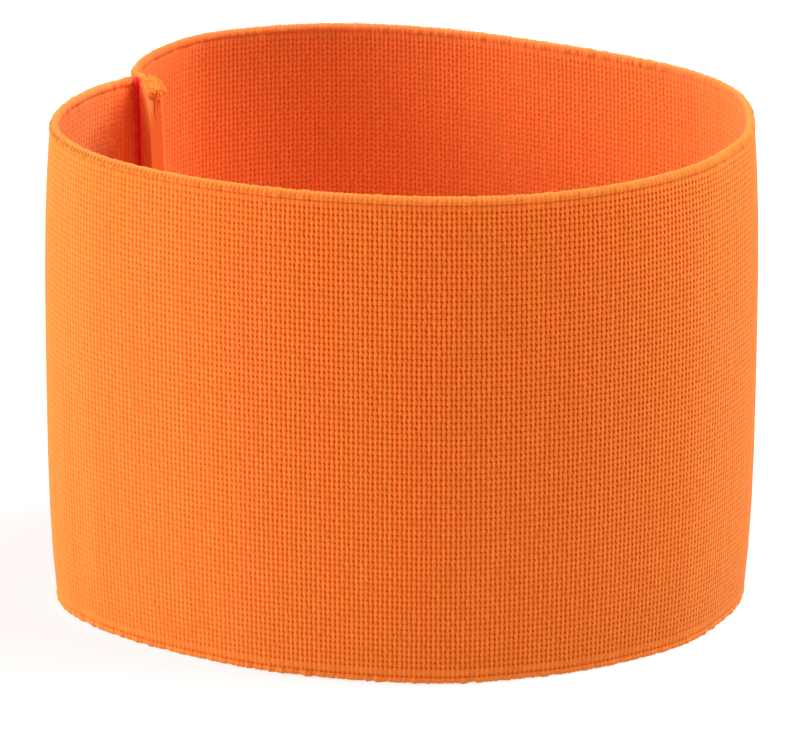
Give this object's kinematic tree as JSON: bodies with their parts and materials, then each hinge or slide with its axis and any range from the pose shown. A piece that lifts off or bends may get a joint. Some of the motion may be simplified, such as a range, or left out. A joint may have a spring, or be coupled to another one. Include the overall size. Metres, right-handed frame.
{
  "type": "hunting armband",
  "caption": "Wide plain armband of hi-vis orange woven elastic, sewn into a loop with turned-in ends, standing on its edge.",
  "frame": {"origin": "bottom centre of the bounding box: in the plane of the edge that the loop stands on, in the middle of the loop", "axes": "+Z along the axis of the armhole, up from the edge it stands on; +X along the loop's longer way across; +Y across it, away from the viewer of the picture, so the seam's turned-in ends are on the -X, +Y side"},
  "size_m": [0.1134, 0.094, 0.08],
  "materials": {
    "woven_elastic": "matte woven elastic, ribbed across its width"
  },
  "bodies": {
    "root": {"elastic_band": "woven_elastic"}
  },
  "joints": []
}
